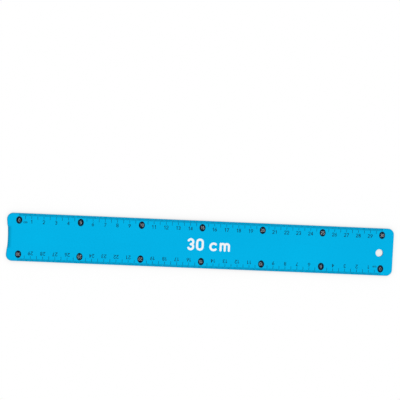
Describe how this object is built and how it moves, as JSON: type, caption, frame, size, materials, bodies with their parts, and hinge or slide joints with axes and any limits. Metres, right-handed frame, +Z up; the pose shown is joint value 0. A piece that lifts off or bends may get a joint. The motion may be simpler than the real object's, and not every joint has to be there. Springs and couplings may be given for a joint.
{
  "type": "flexible ruler",
  "caption": "Thin springy plastic ruler for measuring and drawing, with a centimetre scale on each long edge, a hollowed 0 end and a hanging hole; it curls both ways along its length.",
  "frame": {"origin": "middle of the underside: half-way along the ruler and half-way across it, on the surface it lies on", "axes": "+X along the ruler from the 0 end to the 30 end, +Y across it towards the edge whose scale reads left to right, +Z up out of the printed face"},
  "size_m": [0.32, 0.0396, 0.0021],
  "materials": {
    "blade_plastic": "smooth satin soft plastic, bright sky blue all through",
    "dark_ink": "satin screen-printed ink, near-black navy",
    "white_ink": "satin screen-printed ink, white"
  },
  "bodies": {
    "span_01": {"blade_01": "blade_plastic", "dark_print_01": "dark_ink", "white_print_01": "white_ink"},
    "span_02": {"blade_02": "blade_plastic", "dark_print_02": "dark_ink"},
    "span_03": {"blade_03": "blade_plastic", "dark_print_03": "dark_ink", "white_print_03": "white_ink"},
    "span_04": {"blade_04": "blade_plastic", "dark_print_04": "dark_ink"},
    "span_05": {"blade_05": "blade_plastic", "dark_print_05": "dark_ink"},
    "span_06": {"blade_06": "blade_plastic", "dark_print_06": "dark_ink"},
    "span_07": {"blade_07": "blade_plastic", "dark_print_07": "dark_ink"},
    "span_08": {"blade_08": "blade_plastic", "dark_print_08": "dark_ink", "white_print_08": "white_ink"},
    "span_09": {"blade_09": "blade_plastic", "dark_print_09": "dark_ink"},
    "span_10": {"blade_10": "blade_plastic", "dark_print_10": "dark_ink"},
    "span_11": {"blade_11": "blade_plastic", "dark_print_11": "dark_ink"},
    "span_12": {"blade_12": "blade_plastic", "dark_print_12": "dark_ink", "white_print_12": "white_ink"},
    "span_13": {"blade_13": "blade_plastic", "dark_print_13": "dark_ink", "white_print_13": "white_ink"},
    "span_14": {"blade_14": "blade_plastic", "dark_print_14": "dark_ink", "white_print_14": "white_ink"},
    "span_15": {"blade_15": "blade_plastic", "dark_print_15": "dark_ink", "white_print_15": "white_ink"},
    "span_16": {"blade_16": "blade_plastic", "dark_print_16": "dark_ink"},
    "span_17": {"blade_17": "blade_plastic", "dark_print_17": "dark_ink"},
    "span_18": {"blade_18": "blade_plastic", "dark_print_18": "dark_ink", "white_print_18": "white_ink"},
    "span_19": {"blade_19": "blade_plastic", "dark_print_19": "dark_ink"},
    "span_20": {"blade_20": "blade_plastic", "dark_print_20": "dark_ink"},
    "span_21": {"blade_21": "blade_plastic", "dark_print_21": "dark_ink"},
    "span_22": {"blade_22": "blade_plastic", "dark_print_22": "dark_ink"},
    "span_23": {"blade_23": "blade_plastic", "dark_print_23": "dark_ink", "white_print_23": "white_ink"},
    "span_24": {"blade_24": "blade_plastic", "dark_print_24": "dark_ink"},
    "span_25": {"blade_25": "blade_plastic", "dark_print_25": "dark_ink", "white_print_25": "white_ink"}
  },
  "joints": [
    {"name": "flex_01", "type": "hinge", "parent": "span_02", "child": "span_01", "pos_m": [-0.1355, 0, 0.001], "axis": [0, 1, 0], "range_deg": [-11, 11], "stiffness_Nm_per_rad": 0.06},
    {"name": "flex_02", "type": "hinge", "parent": "span_03", "child": "span_02", "pos_m": [-0.1155, 0, 0.001], "axis": [0, 1, 0], "range_deg": [-11, 11], "stiffness_Nm_per_rad": 0.06},
    {"name": "flex_03", "type": "hinge", "parent": "span_04", "child": "span_03", "pos_m": [-0.0955, 0, 0.001], "axis": [0, 1, 0], "range_deg": [-11, 11], "stiffness_Nm_per_rad": 0.12},
    {"name": "flex_04", "type": "hinge", "parent": "span_05", "child": "span_04", "pos_m": [-0.0855, 0, 0.001], "axis": [0, 1, 0], "range_deg": [-11, 11], "stiffness_Nm_per_rad": 0.12},
    {"name": "flex_05", "type": "hinge", "parent": "span_06", "child": "span_05", "pos_m": [-0.0755, 0, 0.001], "axis": [0, 1, 0], "range_deg": [-11, 11], "stiffness_Nm_per_rad": 0.12},
    {"name": "flex_06", "type": "hinge", "parent": "span_07", "child": "span_06", "pos_m": [-0.0655, 0, 0.001], "axis": [0, 1, 0], "range_deg": [-11, 11], "stiffness_Nm_per_rad": 0.12},
    {"name": "flex_07", "type": "hinge", "parent": "span_08", "child": "span_07", "pos_m": [-0.0555, 0, 0.001], "axis": [0, 1, 0], "range_deg": [-11, 11], "stiffness_Nm_per_rad": 0.12},
    {"name": "flex_08", "type": "hinge", "parent": "span_09", "child": "span_08", "pos_m": [-0.0455, 0, 0.001], "axis": [0, 1, 0], "range_deg": [-11, 11], "stiffness_Nm_per_rad": 0.12},
    {"name": "flex_09", "type": "hinge", "parent": "span_10", "child": "span_09", "pos_m": [-0.0355, 0, 0.001], "axis": [0, 1, 0], "range_deg": [-11, 11], "stiffness_Nm_per_rad": 0.12},
    {"name": "flex_10", "type": "hinge", "parent": "span_11", "child": "span_10", "pos_m": [-0.0255, 0, 0.001], "axis": [0, 1, 0], "range_deg": [-11, 11], "stiffness_Nm_per_rad": 0.12},
    {"name": "flex_11", "type": "hinge", "parent": "span_12", "child": "span_11", "pos_m": [-0.0155, 0, 0.001], "axis": [0, 1, 0], "range_deg": [-11, 11], "stiffness_Nm_per_rad": 0.12},
    {"name": "flex_12", "type": "hinge", "parent": "span_13", "child": "span_12", "pos_m": [-0.0055, 0, 0.001], "axis": [0, 1, 0], "range_deg": [-11, 11], "stiffness_Nm_per_rad": 0.12},
    {"name": "flex_13", "type": "hinge", "parent": "span_13", "child": "span_14", "pos_m": [0.0045, 0, 0.001], "axis": [0, -1, 0], "range_deg": [-11, 11], "stiffness_Nm_per_rad": 0.12},
    {"name": "flex_14", "type": "hinge", "parent": "span_14", "child": "span_15", "pos_m": [0.0145, 0, 0.001], "axis": [0, -1, 0], "range_deg": [-11, 11], "stiffness_Nm_per_rad": 0.12},
    {"name": "flex_15", "type": "hinge", "parent": "span_15", "child": "span_16", "pos_m": [0.0245, 0, 0.001], "axis": [0, -1, 0], "range_deg": [-11, 11], "stiffness_Nm_per_rad": 0.12},
    {"name": "flex_16", "type": "hinge", "parent": "span_16", "child": "span_17", "pos_m": [0.0345, 0, 0.001], "axis": [0, -1, 0], "range_deg": [-11, 11], "stiffness_Nm_per_rad": 0.12},
    {"name": "flex_17", "type": "hinge", "parent": "span_17", "child": "span_18", "pos_m": [0.0445, 0, 0.001], "axis": [0, -1, 0], "range_deg": [-11, 11], "stiffness_Nm_per_rad": 0.12},
    {"name": "flex_18", "type": "hinge", "parent": "span_18", "child": "span_19", "pos_m": [0.0545, 0, 0.001], "axis": [0, -1, 0], "range_deg": [-11, 11], "stiffness_Nm_per_rad": 0.12},
    {"name": "flex_19", "type": "hinge", "parent": "span_19", "child": "span_20", "pos_m": [0.0645, 0, 0.001], "axis": [0, -1, 0], "range_deg": [-11, 11], "stiffness_Nm_per_rad": 0.12},
    {"name": "flex_20", "type": "hinge", "parent": "span_20", "child": "span_21", "pos_m": [0.0745, 0, 0.001], "axis": [0, -1, 0], "range_deg": [-11, 11], "stiffness_Nm_per_rad": 0.12},
    {"name": "flex_21", "type": "hinge", "parent": "span_21", "child": "span_22", "pos_m": [0.0845, 0, 0.001], "axis": [0, -1, 0], "range_deg": [-11, 11], "stiffness_Nm_per_rad": 0.12},
    {"name": "flex_22", "type": "hinge", "parent": "span_22", "child": "span_23", "pos_m": [0.0945, 0, 0.001], "axis": [0, -1, 0], "range_deg": [-11, 11], "stiffness_Nm_per_rad": 0.12},
    {"name": "flex_23", "type": "hinge", "parent": "span_23", "child": "span_24", "pos_m": [0.1145, 0, 0.001], "axis": [0, -1, 0], "range_deg": [-11, 11], "stiffness_Nm_per_rad": 0.06},
    {"name": "flex_24", "type": "hinge", "parent": "span_24", "child": "span_25", "pos_m": [0.1345, 0, 0.001], "axis": [0, -1, 0], "range_deg": [-11, 11], "stiffness_Nm_per_rad": 0.06}
  ]
}
